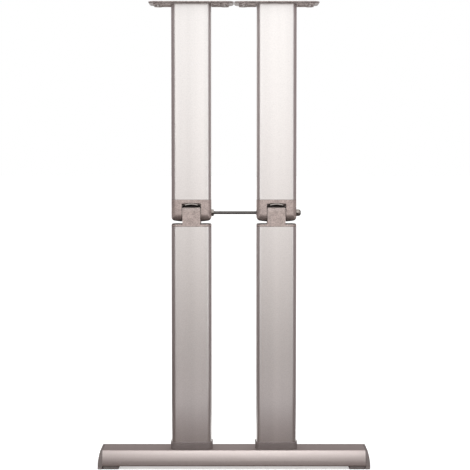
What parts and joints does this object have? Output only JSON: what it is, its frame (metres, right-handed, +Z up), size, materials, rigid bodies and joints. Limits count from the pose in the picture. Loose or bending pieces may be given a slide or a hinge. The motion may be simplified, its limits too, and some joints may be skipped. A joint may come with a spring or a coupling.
{
  "type": "tilt-top table base",
  "caption": "Free-standing table base: flat columns on a low foot bar, with fork-and-tongue hinges on a shared rod so the upper half and its top plates tilt forward.",
  "frame": {"origin": "on the floor, under the middle of the foot bar", "axes": "+Z up the columns, +X along the foot bar towards the lock nut, -Y the front, where the top tilts to"},
  "size_m": [0.4098, 0.068, 0.7],
  "materials": {
    "column_aluminium": "satin anodised extrusion, drawn along its length",
    "foot_aluminium": "satin anodised extrusion, drawn along its length",
    "hinge_casting": "die casting with a fine grey satin paint",
    "plate_casting": "rough grey die casting",
    "grey_moulding": "fine-grained warm grey moulding",
    "pad_rubber": "matt dark grey",
    "rod_steel": "drawn and dulled",
    "nut_steel": "zinc plated, dulled",
    "screw_steel": "zinc plated",
    "spring_steel": "bright rolled strip",
    "bush_plastic": "off-white bearing plastic"
  },
  "bodies": {
    "base": {"foot_bar": "foot_aluminium", "foot_cap_left": "grey_moulding", "foot_cap_right": "grey_moulding", "foot_pad_left": "pad_rubber", "foot_pad_right": "pad_rubber", "pad_screws_left": "screw_steel", "pad_screws_right": "screw_steel", "collar_left": "grey_moulding", "collar_right": "grey_moulding", "foot_screws_left": "screw_steel", "foot_screws_right": "screw_steel", "lower_column_left": "column_aluminium", "lower_column_right": "column_aluminium", "knuckle_left": "hinge_casting", "knuckle_right": "hinge_casting", "knuckle_screws_left": "screw_steel", "knuckle_screws_right": "screw_steel", "pivot_bushes_left": "bush_plastic", "pivot_bushes_right": "bush_plastic"},
    "upper": {"yoke_left": "hinge_casting", "yoke_right": "hinge_casting", "yoke_screws_left": "screw_steel", "yoke_screws_right": "screw_steel", "leaf_spring_left": "spring_steel", "leaf_spring_right": "spring_steel", "upper_column_left": "column_aluminium", "upper_column_right": "column_aluminium", "top_plate_left": "plate_casting", "top_plate_right": "plate_casting", "plate_screws_left": "screw_steel", "plate_screws_right": "screw_steel", "pivot_rod": "rod_steel", "clamp_nut": "nut_steel", "lock_nut": "nut_steel", "lock_insert": "bush_plastic"}
  },
  "joints": [
    {"name": "tilt", "type": "hinge", "parent": "base", "child": "upper", "pos_m": [0, -0.0035, 0.385], "axis": [1, 0, 0], "range_deg": [0, 90], "deforming": ["leaf_spring_left", "leaf_spring_right"]}
  ]
}
